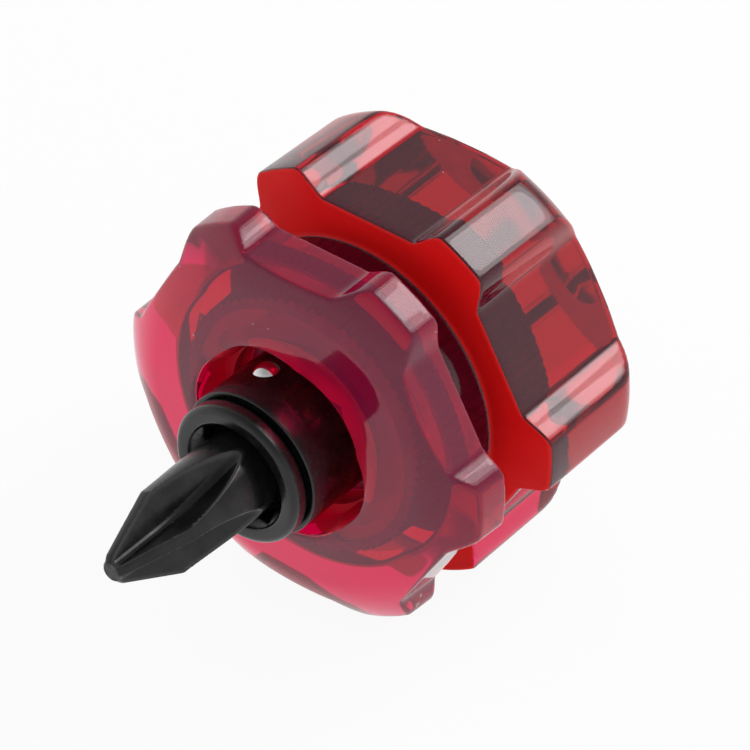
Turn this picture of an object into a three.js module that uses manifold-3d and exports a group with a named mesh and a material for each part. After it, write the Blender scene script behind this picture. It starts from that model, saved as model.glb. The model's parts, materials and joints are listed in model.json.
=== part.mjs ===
import * as THREE from 'three';
import { mergeVertices } from 'three/addons/utils/BufferGeometryUtils.js';
import Module from 'manifold-3d';

// Stubby ratchet screwdriver lying on two handle lobes, in millimetres, +Z up.
// The tool axis runs along Y with the tip toward -Y. Stations are distances along
// that axis, counted from a point just in front of the spindle head.
// Angles are in degrees, counted from +Z toward +X.

// Handle
const fluteCount = 6;
const flangeStepDown = 0.4;
const flangeFluteDepth = 1.95;
const flangeFluteHalfAngle = 14.5;
const flangeLobeHalfAngle = 7.0;
const flangeFlare = 0.05;
const bodyLobeRadius = 15.4;
const bodyFluteDepth = 2.65;
const bodyFluteHalfAngle = 13.5;
const bodyLobeHalfAngle = 5.5;
const edgeBlend = 0.3;
const edgeRound = 0.3;
const faceSlope = 0.09;
const shoulderRadius = 11.0;
const shoulderCurve = 0.11;
const mouthStation = 6.0;
const mouthRound = 0.25;
const flangeRearStation = 10.9;
const grooveWidth = 4.15;
const neckWall = 1.05;
const neckFillet = 0.4;
const buttStation = 26.3;
const buttFlatRadius = 10.8;
const buttRoundLength = 4.2;
const handleSegments = 84;

// Scalloped selector recess
const scallopCount = 6;
const scallopPhase = -17.0;
const scallopLobeRadius = 6.9;
const scallopCuspRadius = 6.25;
const mouthScallopShare = 0.4;
const scallopDepth = 2.7;
const boreRadius = 6.25;

// Running fits
const restGap = 0.3;
const runningGap = 0.15;
const snugGap = 0.1;

// Ratchet housing
const knurlDepth = 0.25;
const knurlCount = 72;
const housingFrontStation = 10.3;
const housingRearStation = 20.5;
const housingWall = 0.8;
const housingFloor = 1.9;
const snapGrooveDepth = 0.35;
const snapGrooveStation = 10.6;
const snapRingThickness = 0.5;
const snapRingReach = 0.9;
const snapRingGapAngle = 40;
const coverThickness = 1.0;

// Selector collar
const collarWall = 0.6;
const collarFrontStation = 3.19;
const collarFlangeClearance = 0.5;
const collarFlangeThickness = 0.7;
const selectorThrow = 60;
const camSlotMargin = 7;

// Detent ball on its leaf
const ballAngle = -14;
const ballStation = 6.45;
const ballRadius = 1.1;
const ballProtrusion = 0.45;
const ballHeight = 0.8;
const leafThickness = 0.12;
const leafWidth = 1.7;
const leafLength = 3.4;

// Spindle
const headRadius = 5.13;
const headFrontStation = 1.55;
const headLength = 1.35;
const headRound = 0.35;
const mouthChamferRadius = 3.93;
const socketFlats = 6.5;
const tubeWall = 1.35;
const journalRadius = 2.45;
const gearSeatFlat = 4.2;

// Ratchet gear
const gearTeeth = 36;
const gearRim = 1.1;
const gearToothDepth = 0.6;
const gearWidth = 2.6;

// Rocker pawls
const pawlPinRadius = 0.45;
const pawlPinInset = 1.3;
const pawlAngle = 60;
const pawlBossRadius = 0.9;
const pawlNoseAngle = 25;
const pawlNoseReach = 0.85;
const pawlNoseWidthAngle = 2.4;
const pawlBackThickness = 0.6;
const pawlBellyThickness = 0.35;
const pawlRock = 5;
const studAngle = 12;
const studRadius = 0.35;
const pawlSpringThickness = 0.14;
const pawlSpringHalfAngle = 20;

// Bit
const bitFlats = 6.3;
const bitBodyRadius = 3.0;
const bitLength = 25.0;
const bitHexLength = 12.2;
const bitTipRadius = 1.05;
const bitPointLength = 4.8;
const bitPointChamfer = 0.4;
const bitFluteAngle = 22;
const bitFluteTipRadius = 0.62;
const bitFluteRunout = 10.6;
const bitFluteHalfOpening = 46;
const bitTipProtrusion = 11.7;
const socketRingStation = 4.2;
const socketRingThickness = 0.28;
const socketRingWidth = 0.5;

// Magnet, bearings and clip
const magnetRadius = 2.5;
const magnetThickness = 1.0;
const washerRim = 0.3;
const washerThickness = 0.5;
const bushingWall = 0.9;
const bushingFlangeRadius = 4.4;
const bushingFlangeThickness = 0.55;
const circlipRadius = 3.3;
const circlipThickness = 0.4;
const circlipGapAngle = 70;

// Turned rounds
const visibleSegments = 48;
const hiddenSegments = 36;

// Derived stations and radii
const degrees = Math.PI / 180;
const bodyFrontStation = flangeRearStation + grooveWidth;
const bodyOverSize = 0.3;
const bodyFluteFloor = bodyLobeRadius - bodyFluteDepth;
const flangeLobeRadius = bodyLobeRadius - flangeStepDown;
const flangeFluteFloor = flangeLobeRadius - flangeFluteDepth;
const tubeRadius = socketFlats / 2 + tubeWall;
const collarBore = tubeRadius + runningGap;
const collarRadius = collarBore + collarWall;
const gearRootRadius = tubeRadius + gearRim;
const gearCrestRadius = gearRootRadius + gearToothDepth;
const pawlNoseRadius = gearCrestRadius + runningGap;
const pawlPinCircle = pawlNoseRadius + pawlNoseReach;
const housingBore = pawlPinCircle + pawlPinInset;
const housingRadius = housingBore + housingWall;
const pocketRadius = housingRadius + restGap;
const neckRadius = housingRadius + neckWall;
const snapGrooveRadius = housingBore + snapGrooveDepth;
const snapRingInnerRadius = housingBore - snapRingReach;
const collarFlangeRadius = housingBore - collarFlangeClearance;
const ballTopRadius = collarRadius + ballProtrusion;
const pawlOuterRadius = pawlPinCircle + pawlBackThickness;
const pawlInnerRadius = pawlPinCircle - pawlBellyThickness;
const washerRadius = gearCrestRadius + washerRim;
const pocketFrontStation = housingFrontStation - restGap;
const pocketRearStation = housingRearStation + restGap;
const coverFrontStation = snapGrooveStation + snapRingThickness + restGap;
const coverRearStation = coverFrontStation + coverThickness;
const flangeFrontStation = coverRearStation + restGap;
const flangeBackStation = flangeFrontStation + collarFlangeThickness;
const pawlFrontStation = flangeBackStation + 2 * restGap;
const pawlBackStation = pawlFrontStation + gearWidth;
const floorStation = housingRearStation - housingFloor;
const bitTipStation = headFrontStation - bitTipProtrusion;
const bitBackStation = bitTipStation + bitLength;
const socketFloorStation = bitBackStation + snugGap;
const magnetFrontStation = socketFloorStation + snugGap;
const magnetBackStation = magnetFrontStation + magnetThickness;
const shoulderStation = pawlBackStation + 2 * restGap;
const washerFrontStation = shoulderStation + runningGap;
const washerBackStation = washerFrontStation + washerThickness;
const bushingBore = journalRadius + runningGap;
const bushingRadius = bushingBore + bushingWall;
const bushingFrontStation = floorStation - snugGap - bushingFlangeThickness;
const circlipStation = housingRearStation + restGap;
const circlipBackStation = circlipStation + circlipThickness;
const journalEndStation = circlipBackStation + 2 * restGap;
const reliefRadius = circlipRadius + restGap;
const reliefStation = journalEndStation + restGap;
const circlipGrooveRadius = journalRadius - 0.4;
const fluteSpacing = 360 / fluteCount;
const camRise = 2 * pawlPinCircle * Math.sin(studAngle * degrees / 2) * Math.sin(pawlRock * degrees);

const wasm = await Module();
wasm.setup();

const red = { color: 0x8c0a1c, roughness: 0.12, metalness: 0.0 };
const blackSteel = { color: 0x1b1b1d, roughness: 0.42, metalness: 0.8 };
const darkSteel = { color: 0x2b2c2f, roughness: 0.38, metalness: 0.85 };
const zincAlloy = { color: 0x232325, roughness: 0.5, metalness: 0.6 };
const brightSteel = { color: 0xc9ccd0, roughness: 0.16, metalness: 1.0 };
const springSteel = { color: 0x7c8087, roughness: 0.3, metalness: 1.0 };
const bronze = { color: 0x9a6b3a, roughness: 0.45, metalness: 0.9 };
const nickel = { color: 0xb4b4b0, roughness: 0.22, metalness: 1.0 };

const group = new THREE.Group();

function piece(name, geometry, finish) {
  const mesh = new THREE.Mesh(geometry, new THREE.MeshStandardMaterial(finish));
  mesh.name = name;
  group.add(mesh);
}

// One merged, outward-facing skin without collapsed triangles
function closed(geometry) {
  const bare = new THREE.BufferGeometry();
  bare.setAttribute('position', geometry.getAttribute('position').clone());
  if (geometry.index) {
    bare.setIndex(geometry.index.clone());
  }
  const merged = mergeVertices(bare, 1e-4);
  const p = merged.getAttribute('position');
  const source = merged.index.array;
  const kept = [];
  let volume = 0;
  const a = new THREE.Vector3();
  const b = new THREE.Vector3();
  const c = new THREE.Vector3();
  for (let i = 0; i < source.length; i += 3) {
    const u = source[i];
    const v = source[i + 1];
    const w = source[i + 2];
    if (u === v || v === w || w === u) {
      continue;
    }
    kept.push(u, v, w);
    a.fromBufferAttribute(p, u);
    b.fromBufferAttribute(p, v);
    c.fromBufferAttribute(p, w);
    volume += a.dot(b.cross(c));
  }
  if (volume < 0) {
    kept.reverse();
  }
  merged.setIndex(kept);
  return merged;
}

function solid(geometry) {
  const skin = closed(geometry);
  const vertProperties = new Float32Array(skin.getAttribute('position').array);
  const triVerts = new Uint32Array(skin.index.array);
  return new wasm.Manifold(new wasm.Mesh({ numProp: 3, vertProperties, triVerts }));
}

function skinOf(body) {
  const mesh = body.getMesh();
  const geometry = new THREE.BufferGeometry();
  geometry.setAttribute('position', new THREE.BufferAttribute(new Float32Array(mesh.vertProperties), 3));
  geometry.setIndex(new THREE.BufferAttribute(new Uint32Array(mesh.triVerts), 1));
  geometry.computeVertexNormals();
  return geometry;
}

// Turned body from radius and station pairs
function turned(profile, segments) {
  const points = profile.map(([radius, station]) => new THREE.Vector2(radius, station));
  return closed(new THREE.LatheGeometry(points, segments));
}

function tube(inner, outer, front, back, segments) {
  return turned([[inner, front], [outer, front], [outer, back], [inner, back], [inner, front]], segments);
}

function rod(radius, front, back, segments) {
  return turned([[0, front], [radius, front], [radius, back], [0, back]], segments);
}

function polar(radius, angle) {
  return new THREE.Vector2(radius * Math.sin(angle * degrees), radius * Math.cos(angle * degrees));
}

// Prism of a cross-section drawn in X and Z, between two stations
function prism(shape, front, back, curveSegments = 12) {
  const geometry = new THREE.ExtrudeGeometry(shape, {
    depth: back - front,
    bevelEnabled: false,
    curveSegments,
  });
  geometry.rotateX(Math.PI / 2);
  geometry.translate(0, back, 0);
  return geometry;
}

// Polygon around the axis whose radius is a formula of the angle
function ringShape(steps, radiusAt) {
  const shape = new THREE.Shape();
  for (let i = 0; i < steps; i += 1) {
    const point = polar(radiusAt(i), i * 360 / steps);
    if (i === 0) {
      shape.moveTo(point.x, point.y);
    } else {
      shape.lineTo(point.x, point.y);
    }
  }
  shape.closePath();
  return shape;
}

// Band between two radii that spans less than a full turn
function arcShape(inner, outer, from, to, steps) {
  const points = [];
  for (let i = 0; i <= steps; i += 1) {
    points.push(polar(outer, from + (to - from) * i / steps));
  }
  for (let i = steps; i >= 0; i -= 1) {
    points.push(polar(inner, from + (to - from) * i / steps));
  }
  return new THREE.Shape(points);
}

// Hexagon with one flat facing the given angle
function hexShape(flats, angle) {
  const points = [];
  for (let i = 0; i < 6; i += 1) {
    points.push(polar(flats / 2 / Math.cos(30 * degrees), angle + 30 + 60 * i));
  }
  return new THREE.Shape(points);
}

// Places a body built on +Y so that it points radially outward at an angle and station
function radial(geometry, angle, station) {
  geometry.rotateX(Math.PI / 2);
  geometry.rotateY(angle * degrees);
  geometry.translate(0, station, 0);
  return geometry;
}

function smoothMinimum(first, second, blend) {
  const overlap = Math.max(blend - Math.abs(first - second), 0) / blend;
  return Math.min(first, second) - overlap * overlap * blend / 4;
}

// Flute cross-section: flat floor, eased wall, round lobe
function fluteRadius(angle, lobe, floor, floorHalf, lobeHalf) {
  const folded = Math.abs(angle - fluteSpacing * Math.round(angle / fluteSpacing));
  const wallWidth = fluteSpacing / 2 - lobeHalf - floorHalf;
  const ease = Math.min(Math.max((folded - floorHalf) / wallWidth, 0), 1);
  const share = ease * ease * (3 - 2 * ease);
  const flat = floor / Math.cos(Math.min(folded, floorHalf) * degrees);
  return flat + (lobe - flat) * share;
}

// Front face of the flange: a slight cone that rolls over into a round shoulder
function domeStation(radius) {
  const roll = Math.max(radius - shoulderRadius, 0);
  return mouthStation + faceSlope * (radius - scallopLobeRadius) + shoulderCurve * roll * roll;
}

function scallopRadius(angle, share) {
  const folded = Math.abs(Math.cos((angle - scallopPhase) * degrees * scallopCount / 2));
  const cusp = scallopLobeRadius - (scallopLobeRadius - scallopCuspRadius) * share;
  return cusp + (scallopLobeRadius - cusp) * folded;
}

// Handle: domed and fluted flange, finger groove, fluted rear body, scalloped recess
function handleGeometry() {
  const stops = [];
  const plain = (radius, station) => stops.push({ station, at: () => radius });
  const scallop = (growth, station, share) => {
    stops.push({ station, at: (angle) => scallopRadius(angle, share) + growth });
  };
  const flange = (limit, station, inset) => {
    const shrink = flangeFlare * (flangeRearStation - station) + inset;
    const skin = (angle) => {
      return fluteRadius(
        angle,
        flangeLobeRadius,
        flangeFluteFloor,
        flangeFluteHalfAngle,
        flangeLobeHalfAngle,
      ) - shrink;
    };
    stops.push({ station, at: (angle) => smoothMinimum(limit, skin(angle), edgeBlend) });
  };
  const body = (limit, station, inset) => {
    const skin = (angle) => {
      return fluteRadius(
        angle,
        bodyLobeRadius,
        bodyFluteFloor,
        bodyFluteHalfAngle,
        bodyLobeHalfAngle,
      ) - inset;
    };
    stops.push({ station, at: (angle) => smoothMinimum(limit, skin(angle), edgeBlend) });
  };
  const unlimited = bodyLobeRadius + 2 * edgeBlend;
  plain(0, reliefStation);
  plain(reliefRadius, reliefStation);
  plain(reliefRadius, pocketRearStation);
  plain(pocketRadius, pocketRearStation);
  plain(pocketRadius, pocketFrontStation);
  plain(boreRadius, pocketFrontStation);
  plain(boreRadius, mouthStation + scallopDepth);
  scallop(snugGap, mouthStation + scallopDepth, 1);
  scallop(0, mouthStation + 3 * mouthRound, 1);
  scallop(mouthRound / 4, mouthStation + mouthRound, mouthScallopShare);
  scallop(mouthRound, mouthStation + mouthRound / 4, mouthScallopShare);
  const domeStart = scallopLobeRadius + 4 * mouthRound;
  const domeSteps = 11;
  for (let i = 0; i < domeSteps; i += 1) {
    const radius = domeStart + (flangeLobeRadius - domeStart) * Math.pow(i / (domeSteps - 1), 0.7);
    flange(radius, domeStation(radius), 0);
  }
  flange(unlimited, flangeRearStation - 3 * edgeRound, 0);
  flange(unlimited, flangeRearStation - edgeRound, 0);
  flange(unlimited, flangeRearStation, edgeRound);
  plain(neckRadius + neckFillet, flangeRearStation);
  plain(neckRadius, flangeRearStation + neckFillet);
  plain(neckRadius, bodyFrontStation - neckFillet);
  plain(neckRadius + neckFillet, bodyFrontStation);
  body(unlimited, bodyFrontStation, edgeRound);
  body(unlimited, bodyFrontStation + edgeRound, 0);
  const roundStart = buttStation - buttRoundLength;
  body(unlimited, (bodyFrontStation + roundStart) / 2, 0);
  const roundSteps = 7;
  const roundWidth = bodyLobeRadius + bodyOverSize - buttFlatRadius;
  for (let i = 0; i < roundSteps; i += 1) {
    const turn = Math.PI / 2 * i / (roundSteps - 1);
    const radius = buttFlatRadius + roundWidth * Math.cos(turn);
    body(radius, roundStart + buttRoundLength * Math.sin(turn), 0);
  }
  plain(0, buttStation);
  const points = stops.map((stop) => new THREE.Vector2(stop.at(0), stop.station));
  const geometry = new THREE.LatheGeometry(points, handleSegments);
  const position = geometry.getAttribute('position');
  for (let i = 0; i <= handleSegments; i += 1) {
    const angle = i * 360 / handleSegments;
    for (let j = 0; j < stops.length; j += 1) {
      const point = polar(stops[j].at(angle), angle);
      position.setXYZ(i * stops.length + j, point.x, stops[j].station, point.y);
    }
  }
  const skin = closed(geometry);
  skin.computeVertexNormals();
  return skin;
}

// Housing: straight-knurled cup, snap-ring groove, bushing hole and two blind pin holes
function housingGeometry() {
  const knurl = ringShape(2 * knurlCount, (i) => housingRadius - (i % 2) * knurlDepth);
  let cup = solid(prism(knurl, housingFrontStation, housingRearStation));
  const grooveBack = snapGrooveStation + snapRingThickness + 2 * snugGap;
  const bore = turned([
    [0, housingFrontStation - 1],
    [housingBore, housingFrontStation - 1],
    [housingBore, snapGrooveStation],
    [snapGrooveRadius, snapGrooveStation],
    [snapGrooveRadius, grooveBack],
    [housingBore, grooveBack],
    [housingBore, floorStation],
    [bushingRadius + snugGap, floorStation],
    [bushingRadius + snugGap, housingRearStation + 1],
    [0, housingRearStation + 1],
  ], hiddenSegments);
  cup = cup.subtract(solid(bore));
  for (const side of [0, 180]) {
    const hole = rod(pawlPinRadius + snugGap, floorStation - 1, floorStation + housingFloor / 2, 12);
    const centre = polar(pawlPinCircle, pawlAngle + side);
    hole.translate(centre.x, 0, centre.y);
    cup = cup.subtract(solid(hole));
  }
  return skinOf(cup);
}

// Spindle: head, tube, hex socket, magnet pocket, gear seat and rear journal
function spindleGeometry() {
  const headBack = headFrontStation + headLength;
  const chamferDepth = mouthChamferRadius - socketFlats / 2;
  let body = solid(turned([
    [0, headFrontStation],
    [headRadius - headRound, headFrontStation],
    [headRadius - headRound * 0.3, headFrontStation + headRound * 0.3],
    [headRadius, headFrontStation + headRound],
    [headRadius, headBack],
    [tubeRadius, headBack],
    [tubeRadius, shoulderStation],
    [journalRadius, shoulderStation],
    [journalRadius, circlipStation - snugGap],
    [circlipGrooveRadius, circlipStation - snugGap],
    [circlipGrooveRadius, circlipBackStation + snugGap],
    [journalRadius, circlipBackStation + snugGap],
    [journalRadius, journalEndStation],
    [0, journalEndStation],
  ], visibleSegments));
  const socket = prism(hexShape(socketFlats, ballAngle), headFrontStation - 1, socketFloorStation);
  body = body.subtract(solid(socket));
  const mouth = turned([
    [0, headFrontStation - 1],
    [mouthChamferRadius, headFrontStation - 1],
    [mouthChamferRadius, headFrontStation + 0.1],
    [socketFlats / 2, headFrontStation + 0.1 + chamferDepth],
    [0, headFrontStation + 0.1 + chamferDepth],
  ], visibleSegments);
  body = body.subtract(solid(mouth));
  const ringSeat = rod(
    bitFlats / 2 / Math.cos(30 * degrees) + socketRingThickness + 2 * snugGap,
    socketRingStation - snugGap,
    socketRingStation + socketRingWidth + snugGap,
    hiddenSegments,
  );
  body = body.subtract(solid(ringSeat));
  const magnetPocket = rod(
    magnetRadius + runningGap,
    socketFloorStation - 1,
    magnetBackStation + runningGap,
    hiddenSegments,
  );
  body = body.subtract(solid(magnetPocket));
  const flatDepth = tubeRadius;
  for (const side of [1, -1]) {
    const flat = new THREE.BoxGeometry(4 * tubeRadius, shoulderStation - flangeBackStation, flatDepth);
    const middle = (shoulderStation + flangeBackStation) / 2 + restGap / 2;
    flat.translate(0, middle, side * (gearSeatFlat + flatDepth / 2));
    body = body.subtract(solid(flat));
  }
  return skinOf(body);
}

// Gear: pointed teeth outside, bore with two driving flats
function gearGeometry() {
  const teeth = ringShape(2 * gearTeeth, (i) => (i % 2 ? gearRootRadius : gearCrestRadius));
  let gear = solid(prism(teeth, pawlFrontStation, pawlBackStation));
  let bore = solid(rod(tubeRadius + snugGap, pawlFrontStation - 1, pawlBackStation + 1, visibleSegments));
  const seat = new THREE.BoxGeometry(4 * tubeRadius, 4 * gearWidth, 2 * (gearSeatFlat + snugGap));
  seat.translate(0, pawlFrontStation, 0);
  bore = bore.intersect(solid(seat));
  gear = gear.subtract(bore);
  return skinOf(gear);
}

// Collar: thin nose, ball pocket with leaf seat, rear flange with two spiral cam slots
function collarGeometry() {
  let body = solid(turned([
    [collarBore, collarFrontStation],
    [collarRadius - 0.12, collarFrontStation],
    [collarRadius, collarFrontStation + 0.12],
    [collarRadius, flangeFrontStation],
    [collarFlangeRadius, flangeFrontStation],
    [collarFlangeRadius, flangeBackStation],
    [collarBore, flangeBackStation],
    [collarBore, collarFrontStation],
  ], visibleSegments));
  const baseRadius = ballTopRadius - ballHeight;
  const pocket = turned([
    [0, baseRadius - 0.5],
    [ballBaseRadius() + snugGap, baseRadius - 0.5],
    [ballBaseRadius() + snugGap, baseRadius + snugGap],
    [ballChordRadius() + snugGap, collarRadius],
    [ballChordRadius() + snugGap, collarRadius + 1],
    [0, collarRadius + 1],
  ], 24);
  body = body.subtract(solid(radial(pocket, ballAngle, ballStation)));
  const seatDepth = 2 * collarWall + ballHeight;
  const seat = new THREE.BoxGeometry(leafWidth + 2 * snugGap, seatDepth, leafLength + 2 * snugGap);
  seat.translate(0, baseRadius + snugGap / 5 - seatDepth / 2, 0);
  body = body.subtract(solid(radial(seat, ballAngle, ballStation)));
  for (const side of [0, 180]) {
    const front = flangeFrontStation - 0.2;
    const slot = prism(camSlotShape(pawlAngle + side), front, flangeBackStation + 1);
    body = body.subtract(solid(slot));
  }
  return skinOf(body);
}

function ballBaseRadius() {
  const drop = ballRadius - ballHeight;
  return Math.sqrt(ballRadius * ballRadius - drop * drop);
}

function ballChordRadius() {
  const drop = collarRadius - (ballTopRadius - ballRadius);
  return Math.sqrt(ballRadius * ballRadius - drop * drop);
}

// Slot that the pawl stud rides in while the collar turns either way
function camSlotShape(angle) {
  const half = studRadius + runningGap;
  const reach = selectorThrow + camSlotMargin;
  const steps = 20;
  const outer = [];
  const inner = [];
  for (let i = 0; i <= steps; i += 1) {
    const turn = reach * (2 * i / steps - 1);
    const radius = pawlPinCircle + camRise * turn / selectorThrow;
    outer.push(polar(radius + half, angle + studAngle - turn));
    inner.unshift(polar(radius - half, angle + studAngle - turn));
  }
  return new THREE.Shape(outer.concat(inner));
}

// Ball-nosed detent, flat on its base
function ballGeometry() {
  const centre = ballTopRadius - ballRadius;
  const start = Math.asin((ballTopRadius - ballHeight - centre) / ballRadius);
  const profile = [[0, ballTopRadius - ballHeight]];
  const steps = 9;
  for (let i = 0; i <= steps; i += 1) {
    const rise = start + (Math.PI / 2 - start) * i / steps;
    const radius = i === steps ? 0 : ballRadius * Math.cos(rise);
    profile.push([radius, centre + ballRadius * Math.sin(rise)]);
  }
  return radial(turned(profile, 24), ballAngle, ballStation);
}

function leafGeometry() {
  const leaf = new THREE.BoxGeometry(leafWidth, leafThickness, leafLength);
  leaf.translate(0, ballTopRadius - ballHeight - snugGap / 2 - leafThickness / 2, 0);
  return closed(radial(leaf, ballAngle, ballStation));
}

// Rocker pawl with a nose at each end, a pivot hole and a stud for the cam slot
function pawlGeometry(angle) {
  const points = [];
  const tip = pawlNoseAngle;
  const shank = tip - 4 * pawlNoseWidthAngle;
  const boss = Math.asin(pawlBossRadius / pawlPinCircle) / degrees;
  const crown = pawlPinCircle + pawlBossRadius;
  points.push(polar(pawlOuterRadius, angle - tip));
  points.push(polar(pawlOuterRadius, angle - boss * 1.6));
  points.push(polar(crown, angle - boss * 0.6));
  points.push(polar(crown, angle + boss * 0.6));
  points.push(polar(pawlOuterRadius, angle + boss * 1.6));
  points.push(polar(pawlOuterRadius, angle + tip));
  points.push(polar(pawlInnerRadius, angle + tip + pawlNoseWidthAngle));
  points.push(polar(pawlNoseRadius, angle + tip + pawlNoseWidthAngle / 2));
  points.push(polar(pawlNoseRadius, angle + tip - pawlNoseWidthAngle / 2));
  points.push(polar(pawlInnerRadius, angle + shank));
  points.push(polar(pawlPinCircle - pawlBossRadius * 0.85, angle + boss * 0.6));
  points.push(polar(pawlPinCircle - pawlBossRadius * 0.85, angle - boss * 0.6));
  points.push(polar(pawlInnerRadius, angle - shank));
  points.push(polar(pawlNoseRadius, angle - tip + pawlNoseWidthAngle / 2));
  points.push(polar(pawlNoseRadius, angle - tip - pawlNoseWidthAngle / 2));
  points.push(polar(pawlInnerRadius, angle - tip - pawlNoseWidthAngle));
  let pawl = solid(prism(new THREE.Shape(points), pawlFrontStation, pawlBackStation));
  const pin = rod(pawlPinRadius + snugGap, pawlFrontStation - 1, pawlBackStation + 1, 16);
  const pivot = polar(pawlPinCircle, angle);
  pin.translate(pivot.x, 0, pivot.y);
  pawl = pawl.subtract(solid(pin));
  const stud = rod(studRadius, flangeFrontStation + snugGap, pawlFrontStation + 0.5, 12);
  const centre = polar(pawlPinCircle, angle + studAngle);
  stud.translate(centre.x, 0, centre.y);
  return skinOf(pawl.add(solid(stud)));
}

function pawlPinGeometry(angle) {
  const pin = rod(pawlPinRadius, flangeBackStation + restGap, floorStation + housingFloor / 2 - snugGap, 12);
  const centre = polar(pawlPinCircle, angle);
  pin.translate(centre.x, 0, centre.y);
  return pin;
}

function pawlSpringGeometry(angle) {
  const outer = housingBore - snugGap;
  const shape = arcShape(
    outer - pawlSpringThickness,
    outer,
    angle - pawlSpringHalfAngle,
    angle + pawlSpringHalfAngle,
    8,
  );
  return closed(prism(shape, pawlFrontStation + restGap, pawlBackStation - restGap));
}

// Phillips bit: hex shank, round body, cross point with four ground flutes
function bitGeometry() {
  const hexFront = bitBackStation - bitHexLength;
  const pointBack = bitTipStation + bitPointLength;
  const corner = bitFlats / 2 / Math.cos(30 * degrees);
  let shank = solid(prism(hexShape(bitFlats, ballAngle), hexFront, bitBackStation));
  const trim = turned([
    [0, hexFront],
    [bitBodyRadius, hexFront],
    [corner, hexFront + corner - bitBodyRadius],
    [corner, bitBackStation - 0.5],
    [corner - 0.5, bitBackStation],
    [0, bitBackStation],
  ], hiddenSegments);
  shank = shank.intersect(solid(trim));
  let point = solid(turned([
    [0, bitTipStation],
    [bitTipRadius - bitPointChamfer, bitTipStation],
    [bitTipRadius, bitTipStation + bitPointChamfer],
    [bitBodyRadius, pointBack],
    [bitBodyRadius, hexFront + 0.5],
    [0, hexFront + 0.5],
  ], visibleSegments));
  const reach = 2 * bitBodyRadius;
  const side = reach * Math.tan(bitFluteHalfOpening * degrees);
  const slope = Math.atan2(bitBodyRadius - bitFluteTipRadius, bitFluteRunout);
  for (let i = 0; i < 4; i += 1) {
    const groove = new THREE.Shape();
    groove.moveTo(0.18, 0);
    groove.quadraticCurveTo(side * 0.32, reach * 0.52, side, reach);
    groove.lineTo(-side, reach);
    groove.quadraticCurveTo(-side * 0.32, reach * 0.52, -0.18, 0);
    groove.closePath();
    const cutter = prism(groove, -2, 2 * bitFluteRunout, 6);
    cutter.rotateX(slope);
    cutter.translate(0, bitTipStation, bitFluteTipRadius);
    cutter.rotateY((bitFluteAngle + 90 * i) * degrees);
    point = point.subtract(solid(cutter));
  }
  return skinOf(point.add(shank));
}

const circlipRing = arcShape(
  circlipGrooveRadius + snugGap,
  circlipRadius,
  circlipGapAngle / 2,
  360 - circlipGapAngle / 2,
  24,
);
const snapRing = arcShape(
  snapRingInnerRadius,
  snapGrooveRadius - snugGap,
  snapRingGapAngle / 2,
  360 - snapRingGapAngle / 2,
  30,
);
const bitCorner = bitFlats / 2 / Math.cos(30 * degrees);
const socketRing = arcShape(
  bitCorner + snugGap / 2,
  bitCorner + snugGap / 2 + socketRingThickness,
  ballAngle + 30,
  ballAngle + 330,
  24,
);
const bushing = turned([
  [bushingBore, bushingFrontStation],
  [bushingFlangeRadius, bushingFrontStation],
  [bushingFlangeRadius, bushingFrontStation + bushingFlangeThickness],
  [bushingRadius, bushingFrontStation + bushingFlangeThickness],
  [bushingRadius, housingRearStation],
  [bushingBore, housingRearStation],
  [bushingBore, bushingFrontStation],
], hiddenSegments);
const snapRingFront = snapGrooveStation + snugGap;
const cover = tube(
  collarRadius + restGap,
  housingBore - runningGap,
  coverFrontStation,
  coverRearStation,
  hiddenSegments,
);
const washer = tube(journalRadius + runningGap, washerRadius, washerFrontStation, washerBackStation, 32);

piece('handle', handleGeometry(), red);
piece('ratchet_housing', housingGeometry(), zincAlloy);
piece('housing_cover', cover, darkSteel);
piece(
  'cover_snap_ring',
  closed(prism(snapRing, snapRingFront, snapRingFront + snapRingThickness)),
  springSteel,
);
piece('rear_bushing', bushing, bronze);
piece('thrust_washer', washer, brightSteel);
piece('pawl_pin_a', pawlPinGeometry(pawlAngle), brightSteel);
piece('pawl_pin_b', pawlPinGeometry(pawlAngle + 180), brightSteel);
piece('pawl_spring_a', pawlSpringGeometry(pawlAngle), springSteel);
piece('pawl_spring_b', pawlSpringGeometry(pawlAngle + 180), springSteel);
piece('pawl_a', pawlGeometry(pawlAngle), darkSteel);
piece('pawl_b', pawlGeometry(pawlAngle + 180), darkSteel);
piece('selector_collar', collarGeometry(), blackSteel);
piece('detent_leaf', leafGeometry(), springSteel);
piece('detent_ball', ballGeometry(), brightSteel);
piece('spindle', spindleGeometry(), blackSteel);
piece('ratchet_gear', gearGeometry(), darkSteel);
piece('spindle_circlip', closed(prism(circlipRing, circlipStation, circlipBackStation)), springSteel);
piece('bit_magnet', rod(magnetRadius, magnetFrontStation, magnetBackStation, hiddenSegments), nickel);
piece(
  'bit_retaining_ring',
  closed(prism(socketRing, socketRingStation, socketRingStation + socketRingWidth)),
  springSteel,
);
piece('phillips_bit', bitGeometry(), blackSteel);

// The part stands centred on its own footprint, with its lowest lobes at Z = 0
const box = new THREE.Box3().setFromObject(group);
const middle = box.getCenter(new THREE.Vector3());
for (const mesh of group.children) {
  mesh.geometry.translate(-middle.x, -middle.y, -box.min.z);
}

export default group;
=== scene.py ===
import json
import math

import bmesh
import bpy
from mathutils import Matrix, Vector


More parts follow.
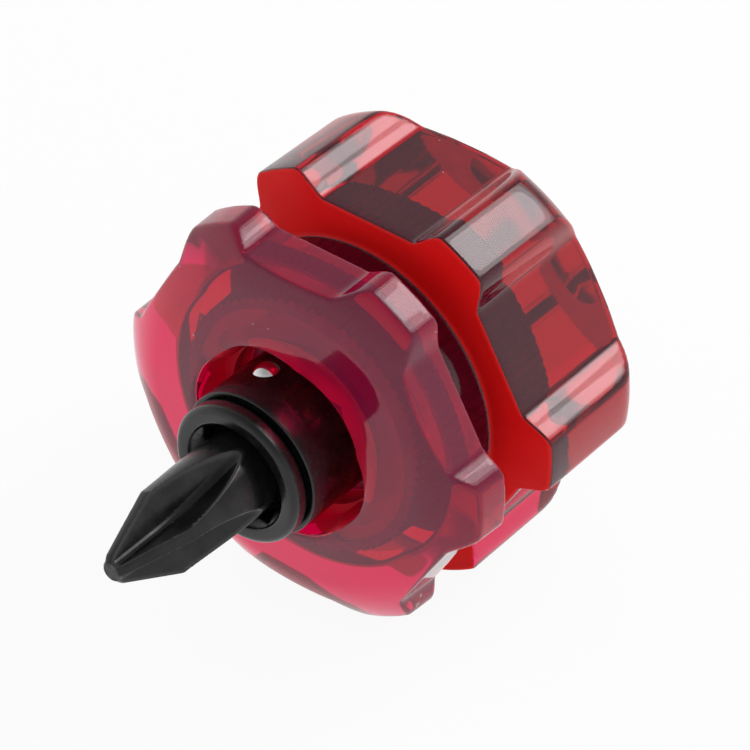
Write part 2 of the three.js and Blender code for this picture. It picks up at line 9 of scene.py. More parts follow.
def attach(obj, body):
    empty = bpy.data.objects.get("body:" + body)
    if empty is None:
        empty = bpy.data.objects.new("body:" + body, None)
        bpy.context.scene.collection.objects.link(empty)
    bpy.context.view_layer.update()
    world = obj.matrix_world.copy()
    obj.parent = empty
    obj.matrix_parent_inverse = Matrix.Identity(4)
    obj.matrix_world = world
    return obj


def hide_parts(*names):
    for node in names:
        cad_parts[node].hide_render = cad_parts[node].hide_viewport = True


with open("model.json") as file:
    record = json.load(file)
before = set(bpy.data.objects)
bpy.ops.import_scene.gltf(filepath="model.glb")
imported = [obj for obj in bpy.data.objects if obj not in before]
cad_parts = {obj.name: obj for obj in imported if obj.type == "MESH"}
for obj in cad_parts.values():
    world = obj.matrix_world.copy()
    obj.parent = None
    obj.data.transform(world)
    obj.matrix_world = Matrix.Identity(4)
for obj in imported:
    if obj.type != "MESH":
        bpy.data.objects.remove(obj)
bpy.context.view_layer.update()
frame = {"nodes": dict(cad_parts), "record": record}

# Stubby ratchet screwdriver. Sizes are in millimetres and angles in degrees. A station is a
# distance along the tool axis, which place() turns into metres in the row frame.
MM = 0.001
AXIS_HEIGHT = 13.93
STATION_SHIFT = -8.075
WELD = 0.0001
FAR = 99.0
SHARP_ANGLE = 40

# Camera, as it stood for the photo
CAMERA_AZIMUTH = 39.05
CAMERA_ELEVATION = 39.13
CAMERA_DISTANCE = 231.0
CAMERA_RIGHT = 10.08
CAMERA_UP = 7.35
CAMERA_LENS = 172.8
CAMERA_SENSOR = 36

# Handle: lobed flange, finger groove and lobed rear body
FLUTES = 6
FLANGE_LOBE = 15.0
FLANGE_FLOOR = 13.05
FLANGE_FLUTE_HALF = 14.5
FLANGE_LOBE_HALF = 7.0
FLANGE_FLARE = 0.05
BODY_LOBE = 15.4
BODY_FLOOR = 12.75
BODY_FLUTE_HALF = 15.5
BODY_LOBE_HALF = 6.5
LOBE_MARGIN = 0.3
EDGE_BLEND = 0.3
EDGE_ROUND = 0.3
FACE_SLOPE = 0.09
SHOULDER_RADIUS = 11.0
SHOULDER_CURVE = 0.11
FLANGE_REAR = 10.9
GROOVE = 4.15
BODY_FRONT = FLANGE_REAR + GROOVE
NECK = 10.45
NECK_FILLET = 0.4
BUTT = 26.3
BUTT_FLAT = 10.8
BUTT_ROUND = 4.2
HANDLE_TURNS = 360
DOME_ROWS = 55
DOME_SPACING = 0.8

# Scalloped recess, which ends in a round bore
MOUTH = 6.0
MOUTH_ROUND = 0.25
MOUTH_DEPTH = 1.2
MOUTH_RISE = 1.15
MOUTH_SHARE = 0.4
SCALLOPS = 6
SCALLOP_PHASE = -17.0
SCALLOP_LOBE = 6.9
SCALLOP_CUSP = 6.25
SCALLOP_GAP = 0.1
SCALLOP_DEPTH = 2.7
BORE = 6.25

# The plastic grips the ratchet housing, so its cavity ends just under the knurl
CAVITY_RADIUS = 9.1
CAVITY_FRONT = 10.6
CAVITY_REAR = 20.3
RELIEF_RADIUS = 3.6
RELIEF_REAR = 22.0

# Spindle
HEAD_RADIUS = 5.13
HEAD_FRONT = 1.55
HEAD_BACK = 2.9
HEAD_ROUND = 0.5
HEAD_BACK_ROUND = 0.3
LIP_ROUND = 0.15
SOCKET_MOUTH = 3.93
SOCKET_FLATS = 6.5
SOCKET_FLOOR = 14.95
SOCKET_LEAD = 0.75
SOCKET_LEAD_LENGTH = 0.6
TUBE = 4.6
TUBE_SUPPORT = 0.1
GEAR_SEAT_FLAT = 4.2
GEAR_SEAT_FRONT = 13.55
SHOULDER = 17.2
JOURNAL = 2.45
JOURNAL_END = 21.8
HEX_ANGLE = -14.0
SPINDLE_TURNS = 192

# Bit: a cross point with four ground flutes, a round body and a hex shank
BIT_TIP = -10.15
BIT_BACK = 14.85
BIT_BACK_CHAMFER = 0.5
BIT_BACK_RADIUS = 3.2
BIT_HEX_FRONT = 2.65
BIT_HEX_STEP = 0.16
BIT_FLATS = 6.3
BIT_RADIUS = 3.0
BIT_TIP_RADIUS = 1.05
BIT_TIP_CHAMFER = 0.4
BIT_POINT = 4.8
BIT_POINT_BLEND = 0.05
BIT_FLUTE_ANGLE = 18.0
BIT_FLUTE_HALF_OPENING = 46.0
BIT_FLUTE_CORE = 0.5
BIT_FLUTE_SLOPE = 0.03
BIT_FLUTE_LEVEL = 3.5
BIT_FLUTE_ROUND = 0.55
BIT_FLUTE_LEAST = 0.05
BIT_WHEEL = 15.0
BIT_EDGE = 0.12
BIT_GROUND = 12.4
# Width of the painted highlight along the bit's wing and flute edges
BIT_GLINT_WIDTH = 0.3
BIT_ROWS = 150
BIT_TURNS = 360

# Selector collar and detent ball
COLLAR_BORE = 4.75
COLLAR_BORE_ROUND = 0.1
COLLAR_RADIUS = 5.35
COLLAR_RIM_ROUND = 0.12
COLLAR_FRONT = 3.19
COLLAR_FLANGE = 8.1
COLLAR_FLANGE_FRONT = 12.7
COLLAR_BACK = 13.4
BALL_ANGLE = -14.0
BALL_STATION = 6.45
BALL_RADIUS = 1.1
BALL_TOP = 5.8
BALL_SWEEP = 1.05
BALL_ROWS = 24
BALL_TURNS = 48

# Red plastic
PLASTIC_IOR = 1.49
PLASTIC_SPECULAR = 0.32
PLASTIC_DEEP = (0.86, 0.01, 0.17)
PLASTIC_PALE = (0.9, 0.016, 0.2)
PLASTIC_CLEAR = 0.96
PLASTIC_GLOSS = (0.03, 0.08)
ABSORB_COLOUR = (0.958, 0.12, 0.72, 1)
ABSORB_DENSITY = 600
CLOUD_SHARE = 0.12
CLOUD_REAR = FLANGE_REAR + 1
CLOUD_PER_METRE = 700
SPECK_COLOUR = (0.5, 0.36, 0.38)
SPECK_SHARE = 0.6
SPECK_SIZE = 0.12
SPECK_SCALE = 620
FROST_COLOUR = (0.95, 0.0, 0.0)
FROST_SHARE = 0.65
FROST_ROUGHNESS = 0.6
FROST_FACING = -0.6
RECESS_FROST = 0.8
RECESS_FROST_RADIUS = 7.0

# Studio
FLOOR_HALF = 3.0
FLOOR_GREY = (0.93, 0.95)
FLOOR_WHITE = 0.93
SKY_LOW = 1.0
SKY_HIGH = 0.4
KEY_DIRECTION = (0.3, 0.6, 0.74)
KEY_STATION = 12
KEY_DISTANCE = 0.4
KEY_STEP = 0.005
KEY_DISCS = ((0.12, 3.6), (0.2, 2.2), (0.3, 1.8))


def place(x, station, z):
    return Vector((x * MM, (station + STATION_SHIFT) * MM, (z + AXIS_HEIGHT) * MM))


def along(station):
    """A station as a coordinate of the row frame."""
    return (station + STATION_SHIFT) * MM


def smooth_minimum(a, b, blend):
    h = max(blend - abs(a - b), 0.0) / blend
    return min(a, b) - h * h * blend / 4


def smooth_step(share):
    return share * share * (3 - 2 * share)


def quarter(rows, first=0):
    """Angles of a quarter round, in equal steps."""
    return [math.pi / 2 * k / rows for k in range(first, rows + 1)]


class Meridian(list):
    """Stops of a turned mesh: a station, and the radius there at each angle."""

    def plain(self, radius, station):
        self.append((station, lambda angle: radius))

    def shaped(self, station, radius_at):
        self.append((station, radius_at))


def flute_radius(angle, lobe, floor, floor_half, lobe_half):
    spacing = 360 / FLUTES
    folded = abs(angle - spacing * round(angle / spacing))
    ease = min(max((folded - floor_half) / (spacing / 2 - lobe_half - floor_half), 0.0), 1.0)
    flat = floor / math.cos(math.radians(min(folded, floor_half)))
    return flat + (lobe - flat) * smooth_step(ease)


def flange_radius(angle):
    return flute_radius(angle, FLANGE_LOBE, FLANGE_FLOOR, FLANGE_FLUTE_HALF, FLANGE_LOBE_HALF)


def body_radius(angle):
    return flute_radius(angle, BODY_LOBE, BODY_FLOOR, BODY_FLUTE_HALF, BODY_LOBE_HALF)


def dome_station(radius):
    roll = max(radius - SHOULDER_RADIUS, 0.0)
    return MOUTH + FACE_SLOPE * (radius - SCALLOP_LOBE) + SHOULDER_CURVE * roll * roll


def scallop_radius(angle, share):
    folded = abs(math.cos(math.radians((angle - SCALLOP_PHASE) * SCALLOPS / 2)))
    cusp = SCALLOP_LOBE - (SCALLOP_LOBE - SCALLOP_CUSP) * share
    return cusp + (SCALLOP_LOBE - cusp) * folded


def handle_stops():
    """The handle, from its cavity through the recess, round the outside and to the butt."""
    stops = Meridian()
    free = BODY_LOBE + 2 * EDGE_BLEND

    def scallop(growth, station, share):
        stops.shaped(station, lambda angle: scallop_radius(angle, share) + growth)

    def flange(limit, station, inset):
        shrink = FLANGE_FLARE * (FLANGE_REAR - station) + inset
        stops.shaped(station, lambda angle: smooth_minimum(limit, flange_radius(angle) - shrink, EDGE_BLEND))

    def body(limit, station, inset):
        stops.shaped(station, lambda angle: smooth_minimum(limit, body_radius(angle) - inset, EDGE_BLEND))

    # Cavity for the housing
    stops.plain(0, RELIEF_REAR)
    stops.plain(RELIEF_RADIUS, RELIEF_REAR)
    stops.plain(RELIEF_RADIUS, CAVITY_REAR)
    stops.plain(CAVITY_RADIUS, CAVITY_REAR)
    stops.plain(CAVITY_RADIUS, CAVITY_FRONT)

    # Bore, scalloped recess and its rounded mouth
    stops.plain(BORE, CAVITY_FRONT)
    stops.plain(BORE, MOUTH + SCALLOP_DEPTH)
    for k in range(7):
        scallop(SCALLOP_GAP, MOUTH + SCALLOP_DEPTH + (MOUTH_DEPTH - SCALLOP_DEPTH) * k / 6, 1)
    for k in range(7):
        rise = (k + 1) / 7
        turn = rise * math.pi / 2
        growth = SCALLOP_GAP + MOUTH_ROUND * (1 - math.cos(turn))
        share = 1 - (1 - MOUTH_SHARE) * smooth_step(rise)
        scallop(growth, MOUTH + MOUTH_DEPTH - MOUTH_RISE * math.sin(turn), share)

    # Face of the flange, which rolls over into its lobes
    dome_start = SCALLOP_LOBE + 3 * MOUTH_ROUND
    dome_edge = FLANGE_LOBE + LOBE_MARGIN
    for k in range(DOME_ROWS + 1):
        radius = dome_start + (dome_edge - dome_start) * (k / DOME_ROWS) ** DOME_SPACING
        flange(radius, dome_station(radius), 0)

    # Side and rear edge of the flange
    dome_end = dome_station(dome_edge)
    for k in range(5):
        flange(free, dome_end + (FLANGE_REAR - EDGE_ROUND - dome_end) * (k + 1) / 5, 0)
    for turn in quarter(6, 1):
        flange(free, FLANGE_REAR - EDGE_ROUND * (1 - math.sin(turn)), EDGE_ROUND * (1 - math.cos(turn)))

    # Neck in the finger groove
    for turn in quarter(5):
        radius = NECK + NECK_FILLET * (1 - math.sin(turn))
        stops.plain(radius, FLANGE_REAR + NECK_FILLET * (1 - math.cos(turn)))
    for turn in quarter(5):
        radius = NECK + NECK_FILLET * (1 - math.cos(turn))
        stops.plain(radius, BODY_FRONT - NECK_FILLET * (1 - math.sin(turn)))

    # Rear body and butt
    for turn in quarter(6):
        body(free, BODY_FRONT + EDGE_ROUND * (1 - math.cos(turn)), EDGE_ROUND * (1 - math.sin(turn)))
    round_start = BUTT - BUTT_ROUND
    for k in range(8):
        body(free, BODY_FRONT + EDGE_ROUND + (round_start - BODY_FRONT - EDGE_ROUND) * (k + 1) / 9, 0)
    width = BODY_LOBE + LOBE_MARGIN - BUTT_FLAT
    for turn in quarter(24):
        body(BUTT_FLAT + width * math.cos(turn), round_start + BUTT_ROUND * math.sin(turn), 0)
    stops.plain(0, BUTT)
    return stops


def turned_mesh(name, stops, turns):
    """A closed mesh swept about the tool axis; stops whose radius is 0 become poles."""
    verts = []
    rows = []
    for station, radius_at in stops:
        if radius_at(0) == 0:
            rows.append([len(verts)] * turns)
            verts.append(place(0, station, 0))
            continue
        row = []
        for i in range(turns):
            angle = i * 360 / turns
            radius = radius_at(angle)
            row.append(len(verts))
            x = radius * math.sin(math.radians(angle))
            z = radius * math.cos(math.radians(angle))
            verts.append(place(x, station, z))
        rows.append(row)
    faces = []
    for low, high in zip(rows, rows[1:]):
        for i in range(turns):
            j = (i + 1) % turns
            ring = []
            for v in (low[i], low[j], high[j], high[i]):
                if v not in ring:
                    ring.append(v)
            faces.append(ring)
    return mesh_object(name, verts, faces)


def mesh_object(name, verts, faces):
    """A welded, closed mesh with outward normals and sharp edges kept."""
    mesh = bpy.data.meshes.new(name)
    mesh.from_pydata(verts, [], faces)
    shell = bmesh.new()
    shell.from_mesh(mesh)
    bmesh.ops.remove_doubles(shell, verts=shell.verts, dist=WELD * MM)
    bmesh.ops.recalc_face_normals(shell, faces=shell.faces)
    shell.to_mesh(mesh)
    shell.free()
    mesh.validate()
    mesh.polygons.foreach_set("use_smooth", [True] * len(mesh.polygons))
    mesh.set_sharp_from_angle(angle=math.radians(SHARP_ANGLE))
    mesh.update()
    obj = bpy.data.objects.new(name, mesh)
    bpy.context.scene.collection.objects.link(obj)
    return obj


def hex_radius(flats, angle, facing):
    folded = (angle - facing + 30) % 60 - 30
    return flats / 2 / math.cos(math.radians(folded))


def seat_radius(angle):
    """The tube where two flats drive the gear."""
    return min(TUBE, GEAR_SEAT_FLAT / max(abs(math.cos(math.radians(angle))), 0.1))


def spindle_stops():
    """The spindle, from its hex socket round the head to the tube, gear seat and journal."""
    stops = Meridian()

    def socket(station, least):
        stops.shaped(station, lambda angle: max(hex_radius(SOCKET_FLATS, angle, HEX_ANGLE), least))

    stops.plain(0, SOCKET_FLOOR)
    socket(SOCKET_FLOOR, 0)
    lead_end = HEAD_FRONT + SOCKET_LEAD
    socket(lead_end, 0)
    for k in range(5):
        share = (k + 1) / 5
        least = SOCKET_FLATS / 2 + (SOCKET_MOUTH - SOCKET_FLATS / 2) * share
        socket(lead_end - SOCKET_LEAD_LENGTH * share, least)
    for turn in quarter(4, 1):
        radius = SOCKET_MOUTH + LIP_ROUND * (1 - math.cos(turn))
        stops.plain(radius, HEAD_FRONT + LIP_ROUND * (1 - math.sin(turn)))
    for turn in quarter(8):
        radius = HEAD_RADIUS - HEAD_ROUND * (1 - math.sin(turn))
        stops.plain(radius, HEAD_FRONT + HEAD_ROUND * (1 - math.cos(turn)))
    for turn in quarter(5):
        radius = HEAD_RADIUS - HEAD_BACK_ROUND * (1 - math.cos(turn))
        stops.plain(radius, HEAD_BACK - HEAD_BACK_ROUND * (1 - math.sin(turn)))
    stops.plain(TUBE, HEAD_BACK)
    stops.plain(TUBE, HEAD_BACK + TUBE_SUPPORT)
    stops.plain(TUBE, GEAR_SEAT_FRONT)
    stops.shaped(GEAR_SEAT_FRONT, seat_radius)
    stops.shaped(SHOULDER, seat_radius)
    stops.plain(JOURNAL, SHOULDER)
    stops.plain(JOURNAL, JOURNAL_END)
    stops.plain(0, JOURNAL_END)
    return stops


def flute_floor(run):
    """Height of the bit's flute bottom above the axis, by distance from the tip."""
    if run < BIT_FLUTE_LEVEL:
        return BIT_FLUTE_CORE + BIT_FLUTE_SLOPE * run
    level = BIT_FLUTE_CORE + BIT_FLUTE_SLOPE * BIT_FLUTE_LEVEL
    return level + BIT_WHEEL - math.sqrt(BIT_WHEEL ** 2 - (run - BIT_FLUTE_LEVEL) ** 2)


def flute_limit(run, angle):
    """Radius of the nearest flute wall at an angle around the bit: a rounded V on a rising floor."""
    folded = math.radians(abs((angle - BIT_FLUTE_ANGLE + 45) % 90 - 45))
    opening = math.radians(BIT_FLUTE_HALF_OPENING)
    apex = flute_floor(run)
    edge = math.cos(folded) - math.sin(folded) / math.tan(opening)
    wall = apex / edge if edge > BIT_FLUTE_LEAST else FAR
    centre = apex + BIT_FLUTE_ROUND / math.sin(opening)
    side = centre * math.sin(folded)
    gap = BIT_FLUTE_ROUND ** 2 - side ** 2
    if gap <= 0 or side > BIT_FLUTE_ROUND * math.cos(opening):
        return wall
    bottom = centre * math.cos(folded) - math.sqrt(gap)
    return max(bottom, wall)


def bit_outline(run):
    """Radius of the bit before its flutes are ground, by distance from the tip."""
    if run < BIT_TIP_CHAMFER:
        return BIT_TIP_RADIUS - BIT_TIP_CHAMFER + run
    slope = (BIT_RADIUS - BIT_TIP_RADIUS) / (BIT_POINT - BIT_TIP_CHAMFER)
    return smooth_minimum(BIT_TIP_RADIUS + slope * (run - BIT_TIP_CHAMFER), BIT_RADIUS, BIT_POINT_BLEND)


def mark_bit_edges(obj):
    """Stores how near each vertex is to an edge between a wing and a flute, for the painted highlight there.
    """
    layer = obj.data.attributes.new("glint_share", "FLOAT", "POINT")
    for vertex, mark in zip(obj.data.vertices, layer.data):
        run = vertex.co.y / MM - STATION_SHIFT - BIT_TIP
        if 0 <= run <= BIT_GROUND:
            angle = math.degrees(math.atan2(vertex.co.x, vertex.co.z - AXIS_HEIGHT * MM))
            gap = abs(bit_outline(run) - flute_limit(run, angle))
            mark.value = max(0.0, 1 - gap / BIT_GLINT_WIDTH)


def bit_stops():
    """Ground cross point, round body and hex shank of the bit, from the tip back."""
    stops = Meridian()

    def point(run):
        skin = bit_outline(run)
        stops.shaped(BIT_TIP + run, lambda angle: smooth_minimum(skin, flute_limit(run, angle), BIT_EDGE))

    def shank(station, most):
        stops.shaped(station, lambda angle: min(hex_radius(BIT_FLATS, angle, HEX_ANGLE), most))

    stops.plain(0, BIT_TIP)
    for k in range(BIT_ROWS + 1):
        point(BIT_GROUND * k / BIT_ROWS)
    for k in range(4):
        shank(BIT_HEX_FRONT + BIT_HEX_STEP * k, BIT_RADIUS + BIT_HEX_STEP * k)
    shank(BIT_BACK - BIT_BACK_CHAMFER, FAR)
    shank(BIT_BACK, BIT_BACK_RADIUS)
    stops.plain(0, BIT_BACK)
    return stops


def ball_mesh(name):
    """Dome of the detent ball, standing out of the collar along its own angle."""
    tilt = math.radians(BALL_ANGLE)
    verts = []
    for j in range(BALL_ROWS + 1):
        rise = math.pi / 2 - BALL_SWEEP * j / BALL_ROWS
        reach = BALL_RADIUS * math.cos(rise)
        out = BALL_TOP - BALL_RADIUS + BALL_RADIUS * math.sin(rise)
        for i in range(BALL_TURNS):
            turn = 2 * math.pi * i / BALL_TURNS
            across = reach * math.cos(turn)
            x = out * math.sin(tilt) + across * math.cos(tilt)
            z = out * math.cos(tilt) - across * math.sin(tilt)
            verts.append(place(x, BALL_STATION + reach * math.sin(turn), z))
    faces = []
    for j in range(BALL_ROWS):
        low = j * BALL_TURNS
        high = low + BALL_TURNS
        for i in range(BALL_TURNS):
            k = (i + 1) % BALL_TURNS
            faces.append((low + i, low + k, high + k, high + i))
    base = BALL_ROWS * BALL_TURNS
    faces.append([base + i for i in range(BALL_TURNS)])
    return mesh_object(name, verts, faces)


def collar_stops():
    """Thin turned nose with a rounded rim, and the wide rear flange."""
    stops = Meridian()
    stops.plain(COLLAR_BORE, COLLAR_BACK)
    for turn in quarter(4):
        radius = COLLAR_BORE + COLLAR_BORE_ROUND * (1 - math.cos(turn))
        stops.plain(radius, COLLAR_FRONT + COLLAR_BORE_ROUND * (1 - math.sin(turn)))
    for turn in quarter(5):
        radius = COLLAR_RADIUS - COLLAR_RIM_ROUND * (1 - math.sin(turn))
        stops.plain(radius, COLLAR_FRONT + COLLAR_RIM_ROUND * (1 - math.cos(turn)))
    nose_start = COLLAR_FRONT + COLLAR_RIM_ROUND
    for k in range(8):
        stops.plain(COLLAR_RADIUS, nose_start + (COLLAR_FLANGE_FRONT - nose_start) * (k + 1) / 8)
    stops.plain(COLLAR_FLANGE, COLLAR_FLANGE_FRONT)
    stops.plain(COLLAR_FLANGE, COLLAR_BACK)
    stops.plain(COLLAR_BORE, COLLAR_BACK)
    return stops


def grey(value):
    return (value, value, value)


class Graph:
    """The nodes of one material or world, with short calls for those that the finishes share."""

    def __init__(self, owner):
        owner.use_nodes = True
        self.nodes = owner.node_tree.nodes
        self.links = owner.node_tree.links

    def feed(self, socket, value):
        if isinstance(value, (int, float)):
            socket.default_value = value
        else:
            self.links.new(value, socket)

    def coordinate(self, kind):
        return self.nodes.new("ShaderNodeTexCoord").outputs[kind]

    def split(self, vector):
        node = self.nodes.new("ShaderNodeSeparateXYZ")
        self.links.new(vector, node.inputs["Vector"])
        return node.outputs

    def math(self, operation, first, second=0):
        node = self.nodes.new("ShaderNodeMath")
        node.operation = operation
        self.feed(node.inputs[0], first)
        self.feed(node.inputs[1], second)
        return node.outputs["Value"]

    def noise(self, scale, detail):
        node = self.nodes.new("ShaderNodeTexNoise")
        node.inputs["Scale"].default_value = scale
        node.inputs["Detail"].default_value = detail
        self.links.new(self.coordinate("Object"), node.inputs["Vector"])
        return node.outputs["Fac"]

    def ramp(self, value, low, high, first, last):
        node = self.nodes.new("ShaderNodeValToRGB")
        start, end = node.color_ramp.elements
        start.position = low
        start.color = (*first, 1)
        end.position = high
        end.color = (*last, 1)
        self.links.new(value, node.inputs["Fac"])
        return node.outputs["Color"]

    def mix(self, share, first, last):
        node = self.nodes.new("ShaderNodeMix")
        node.data_type = "RGBA"
        self.links.new(share, node.inputs["Factor"])
        self.links.new(first, node.inputs["A"])
        if isinstance(last, tuple):
            node.inputs["B"].default_value = (*last, 1)
        else:
            self.links.new(last, node.inputs["B"])
        return node.outputs["Result"]

    def bump(self, shader, height, strength, distance):
        node = self.nodes.new("ShaderNodeBump")
        node.inputs["Strength"].default_value = strength
        node.inputs["Distance"].default_value = distance
        self.links.new(height, node.inputs["Height"])
        self.links.new(node.outputs["Normal"], shader.inputs["Normal"])


def new_material(name):
    material = bpy.data.materials.new(name)
    graph = Graph(material)
    return material, graph, graph.nodes["Principled BSDF"]


def frost_mask(graph):
    """1 on the groove's rear wall, and a little less on the walls of the recess."""
    where = graph.split(graph.coordinate("Object"))
    facing = graph.split(graph.coordinate("Normal"))
    behind = graph.math("GREATER_THAN", where["Y"], along(FLANGE_REAR + 1))
    ahead = graph.math("LESS_THAN", where["Y"], along(BODY_FRONT + 0.2))
    front = graph.math("LESS_THAN", facing["Y"], FROST_FACING)
    wall = graph.math("MULTIPLY", graph.math("MULTIPLY", behind, ahead), front)
    height = graph.math("SUBTRACT", where["Z"], AXIS_HEIGHT * MM)
    across = graph.math("MULTIPLY", where["X"], where["X"])
    reach = graph.math("ADD", across, graph.math("MULTIPLY", height, height))
    inside = graph.math("LESS_THAN", reach, (RECESS_FROST_RADIUS * MM) ** 2)
    shallow = graph.math("LESS_THAN", where["Y"], along(CAVITY_FRONT - 0.05))
    recess = graph.math("MULTIPLY", graph.math("MULTIPLY", inside, shallow), RECESS_FROST)
    return graph.math("MAXIMUM", wall, recess)


def dust_mask(graph):
    """Small specks, gathered in patches."""
    cells = graph.nodes.new("ShaderNodeTexVoronoi")
    cells.inputs["Scale"].default_value = SPECK_SCALE
    graph.links.new(graph.coordinate("Object"), cells.inputs["Vector"])
    size = graph.ramp(graph.noise(210, 2), 0.52, 0.75, grey(0), grey(SPECK_SIZE))
    return graph.math("LESS_THAN", cells.outputs["Distance"], size)


def red_plastic():
    """Clear red plastic with dust on it, cloudy at the flange and frosted where frost_mask says."""
    material, graph, shader = new_material("red_plastic")
    shader.inputs["IOR"].default_value = PLASTIC_IOR
    shader.inputs["Specular IOR Level"].default_value = PLASTIC_SPECULAR
    speck = dust_mask(graph)
    frost = frost_mask(graph)

    low, high = PLASTIC_GLOSS
    gloss = graph.ramp(graph.noise(900, 3), 0.35, 0.8, grey(low), grey(high))
    rough = graph.math("ADD", gloss, graph.math("MULTIPLY", frost, FROST_ROUGHNESS))
    graph.links.new(rough, shader.inputs["Roughness"])

    where = graph.split(graph.coordinate("Object"))
    depth = graph.math("SUBTRACT", along(CLOUD_REAR), where["Y"])
    depth = graph.math("MULTIPLY", depth, CLOUD_PER_METRE)
    cloud = graph.ramp(depth, 0, 1, grey(0), grey(CLOUD_SHARE))
    clear = graph.math("SUBTRACT", PLASTIC_CLEAR, graph.math("MULTIPLY", speck, SPECK_SHARE))
    clear = graph.math("SUBTRACT", clear, graph.math("MULTIPLY", frost, FROST_SHARE))
    clear = graph.math("SUBTRACT", clear, cloud)
    graph.links.new(clear, shader.inputs["Transmission Weight"])

    body = graph.ramp(graph.noise(90, 2), 0.3, 0.7, PLASTIC_DEEP, PLASTIC_PALE)
    dusty = graph.mix(speck, body, SPECK_COLOUR)
    graph.links.new(graph.mix(frost, dusty, FROST_COLOUR), shader.inputs["Base Color"])
    graph.bump(shader, graph.noise(160, 1), 0.05, 0.0004)

    volume = graph.nodes.new("ShaderNodeVolumeAbsorption")
    volume.inputs["Color"].default_value = ABSORB_COLOUR
    volume.inputs["Density"].default_value = ABSORB_DENSITY
    graph.links.new(volume.outputs["Volume"], graph.nodes["Material Output"].inputs["Volume"])
    return material


def metal(name, dark, light, metallic, rough_low, rough_high, scale=1800, grain=0.06):
    """Metal with blotches of colour, and a fine grain in its gloss and its surface."""
    material, graph, shader = new_material(name)
    shader.inputs["Metallic"].default_value = metallic
    colour = graph.ramp(graph.noise(scale * 0.3, 5), 0.3, 0.75, dark, light)
    graph.links.new(colour, shader.inputs["Base Color"])
    fine = graph.noise(scale, 4)
    rough = graph.ramp(fine, 0.3, 0.7, grey(rough_low), grey(rough_high))
    graph.links.new(rough, shader.inputs["Roughness"])
    graph.bump(shader, fine, grain, 0.0001)
    return material


def paint_edge_highlight(material, colour):
    """Lighter metal along the edges: a painted highlight that stands in for the glints on the ground edges.
    """
    graph = Graph(material)
    base = graph.nodes["Principled BSDF"].inputs["Base Color"]
    edge = graph.nodes.new("ShaderNodeAttribute")
    edge.attribute_name = "glint_share"
    graph.links.new(graph.mix(edge.outputs["Fac"], base.links[0].from_socket, colour), base)
    return material


def housing_casting():
    """Dark knurled side, a darker front rim and a bright turned rear face."""
    material = metal("dark_casting", (0.012, 0.011, 0.012), (0.035, 0.033, 0.034), 0.2, 0.4, 0.6, 2500, 0.12)
    graph = Graph(material)
    base = graph.nodes["Principled BSDF"].inputs["Base Color"]
    facing = graph.split(graph.coordinate("Normal"))
    turned = graph.ramp(graph.math("ABSOLUTE", facing["Y"]), 0.7, 0.9, grey(0), grey(1))
    blotch = graph.noise(700, 4)
    front = graph.ramp(blotch, 0.3, 0.7, (0.13, 0.128, 0.125), (0.2, 0.195, 0.19))
    rear = graph.ramp(blotch, 0.3, 0.7, (0.62, 0.61, 0.6), (0.8, 0.79, 0.78))
    ends = graph.mix(graph.math("GREATER_THAN", facing["Y"], 0), front, rear)
    graph.links.new(graph.mix(turned, base.links[0].from_socket, ends), base)
    return material


def stage():
    """A pale floor that shows white where it is seen, and a soft sky that darkens overhead."""
    floor = bpy.data.meshes.new("floor")
    corners = [(-1, -1), (1, -1), (1, 1), (-1, 1)]
    floor.from_pydata([(x * FLOOR_HALF, y * FLOOR_HALF, 0) for x, y in corners], [], [(0, 1, 2, 3)])
    floor.update()
    obj = bpy.data.objects.new("floor", floor)
    bpy.context.scene.collection.objects.link(obj)

    material, graph, shader = new_material("floor")
    low, high = FLOOR_GREY
    pale = graph.ramp(graph.noise(40, 2), 0.3, 0.7, grey(low), grey(high))
    graph.links.new(pale, shader.inputs["Base Color"])
    shader.inputs["Roughness"].default_value = 0.9
    shader.inputs["Specular IOR Level"].default_value = 0.1
    glow = graph.nodes.new("ShaderNodeEmission")
    glow.inputs["Strength"].default_value = 1.0
    path = graph.nodes.new("ShaderNodeLightPath")
    seen = graph.math("MAXIMUM", path.outputs["Is Camera Ray"], path.outputs["Is Glossy Ray"])
    seen = graph.math("MAXIMUM", seen, path.outputs["Is Transmission Ray"])
    mix = graph.nodes.new("ShaderNodeMixShader")
    graph.links.new(graph.math("MULTIPLY", seen, FLOOR_WHITE), mix.inputs["Fac"])
    graph.links.new(shader.outputs["BSDF"], mix.inputs[1])
    graph.links.new(glow.outputs["Emission"], mix.inputs[2])
    graph.links.new(mix.outputs["Shader"], graph.nodes["Material Output"].inputs["Surface"])
    floor.materials.append(material)

    world = bpy.data.worlds.new("studio")
    bpy.context.scene.world = world
    graph = Graph(world)
    background = graph.nodes["Background"]
    height = graph.split(graph.coordinate("Generated"))["Z"]
    graph.links.new(graph.ramp(height, 0.1, 0.9, grey(SKY_LOW), grey(SKY_HIGH)), background.inputs["Color"])
    background.inputs["Strength"].default_value = 1.0


def softbox(name, direction, distance, width, radiance):
    light = bpy.data.lights.new(name, "AREA")
    light.shape = "DISK"
    light.size = width
    area = math.pi * width * width / 4
    light.energy = radiance * math.pi * area
    obj = bpy.data.objects.new(name, light)
    aim = Vector(direction).normalized()
    obj.location = place(0, KEY_STATION, 0) + aim * distance
    obj.rotation_mode = "QUATERNION"
    obj.rotation_quaternion = (-aim).to_track_quat("-Z", "Y")
    bpy.context.scene.collection.objects.link(obj)


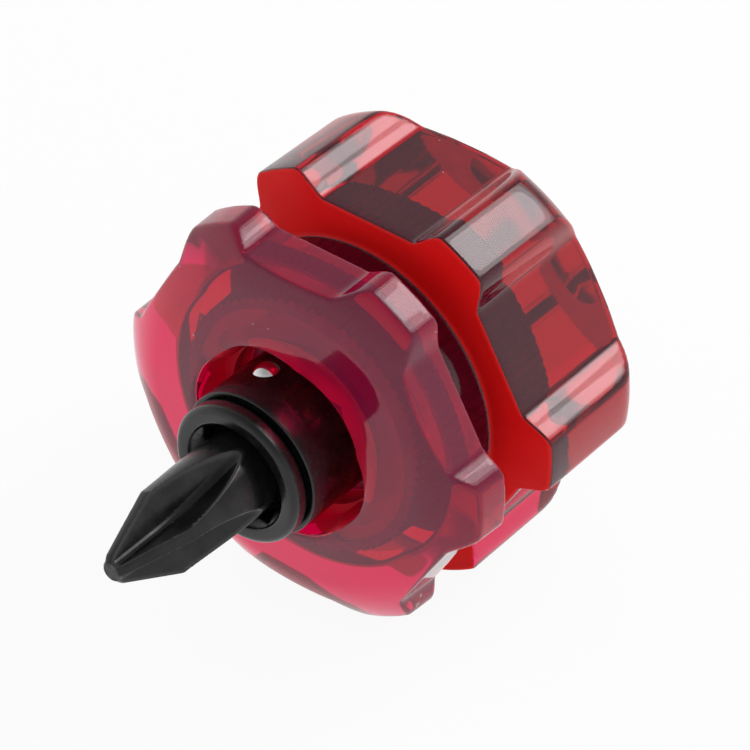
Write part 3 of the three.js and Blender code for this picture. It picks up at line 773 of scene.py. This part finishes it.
def camera():
    azimuth = math.radians(CAMERA_AZIMUTH)
    elevation = math.radians(CAMERA_ELEVATION)
    level = math.cos(elevation)
    back = Vector((math.sin(azimuth) * level, -math.cos(azimuth) * level, math.sin(elevation)))
    right = Vector((math.cos(azimuth), math.sin(azimuth), 0))
    up = back.cross(right)
    where = right * CAMERA_RIGHT + up * CAMERA_UP + back * CAMERA_DISTANCE
    data = bpy.data.cameras.new("camera")
    data.sensor_width = CAMERA_SENSOR
    data.lens = CAMERA_LENS
    data.clip_start = 0.01
    data.clip_end = 20
    obj = bpy.data.objects.new("camera", data)
    turn = Matrix((right, up, back)).transposed().to_4x4()
    obj.matrix_world = Matrix.Translation(place(where.x, where.y, where.z)) @ turn
    bpy.context.scene.collection.objects.link(obj)
    bpy.context.scene.camera = obj


# Finishes, by the record's material slots. The dull zinc is for the housing's cover and snap ring
bit_metal = metal("bit_steel", (0.008, 0.008, 0.0085), (0.024, 0.024, 0.025), 0.5, 0.12, 0.26, 2200, 0.08)
finishes = {
    "red_plastic": red_plastic(),
    "dark_casting": housing_casting(),
    "zinc": metal("zinc", (0.55, 0.54, 0.53), (0.75, 0.74, 0.73), 0.7, 0.35, 0.5),
    "dull_zinc": metal("dull_zinc", (0.26, 0.255, 0.25), (0.38, 0.37, 0.365), 0.5, 0.4, 0.55),
    "dark_steel": metal("dark_steel", (0.03, 0.03, 0.032), (0.07, 0.07, 0.074), 0.8, 0.3, 0.45),
    "black_steel": metal("black_steel", (0.002, 0.002, 0.0022), (0.007, 0.007, 0.0075), 0.1, 0.14, 0.3, 2600),
    # Painted highlight: the bit's wing and flute edges are lightened in colour where they would catch the
    # light
    "bit_steel": paint_edge_highlight(bit_metal, (0.06, 0.06, 0.062)),
    "bright_steel": metal("bright_steel", (0.55, 0.55, 0.56), (0.8, 0.8, 0.81), 1.0, 0.08, 0.18),
    "spring_steel": metal("spring_steel", (0.2, 0.21, 0.22), (0.38, 0.39, 0.41), 1.0, 0.2, 0.35),
    "bronze": metal("bronze", (0.3, 0.16, 0.06), (0.5, 0.28, 0.11), 1.0, 0.3, 0.5),
    "nickel": metal("nickel", (0.5, 0.5, 0.48), (0.7, 0.7, 0.67), 1.0, 0.14, 0.26),
}

for part in frame["record"]["subparts"]:
    node = frame["nodes"][part["node"]]
    node.data.materials.clear()
    node.data.materials.append(finishes[part["material_slot"]])
for node in ("housing_cover", "cover_snap_ring"):
    frame["nodes"][node].data.materials[0] = finishes["dull_zinc"]

# Pieces that stand for a CAD node, with the body that each rides on and its finish
handle = turned_mesh("handle_moulding", handle_stops(), HANDLE_TURNS)
spindle = turned_mesh("spindle_turned", spindle_stops(), SPINDLE_TURNS)
bit = turned_mesh("bit_ground", bit_stops(), BIT_TURNS)
ball = ball_mesh("ball_polished")
collar = turned_mesh("collar_turned", collar_stops(), SPINDLE_TURNS)
mark_bit_edges(bit)
shown = {
    "handle": (handle, "handle_body", "red_plastic"),
    "spindle": (spindle, "spindle_body", "black_steel"),
    "phillips_bit": (bit, "bit_body", "bit_steel"),
    "detent_ball": (ball, "ball_body", "bright_steel"),
    "selector_collar": (collar, "collar_body", "black_steel"),
}
for node, (obj, body, finish) in shown.items():
    obj.data.materials.append(finishes[finish])
    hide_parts(node)
    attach(obj, body)

stage()
for ring, (size, radiance) in enumerate(KEY_DISCS):
    softbox(f"key_{ring}", KEY_DIRECTION, KEY_DISTANCE + KEY_STEP * ring, size, radiance)
camera()
bpy.context.scene.view_settings.view_transform = "Standard"
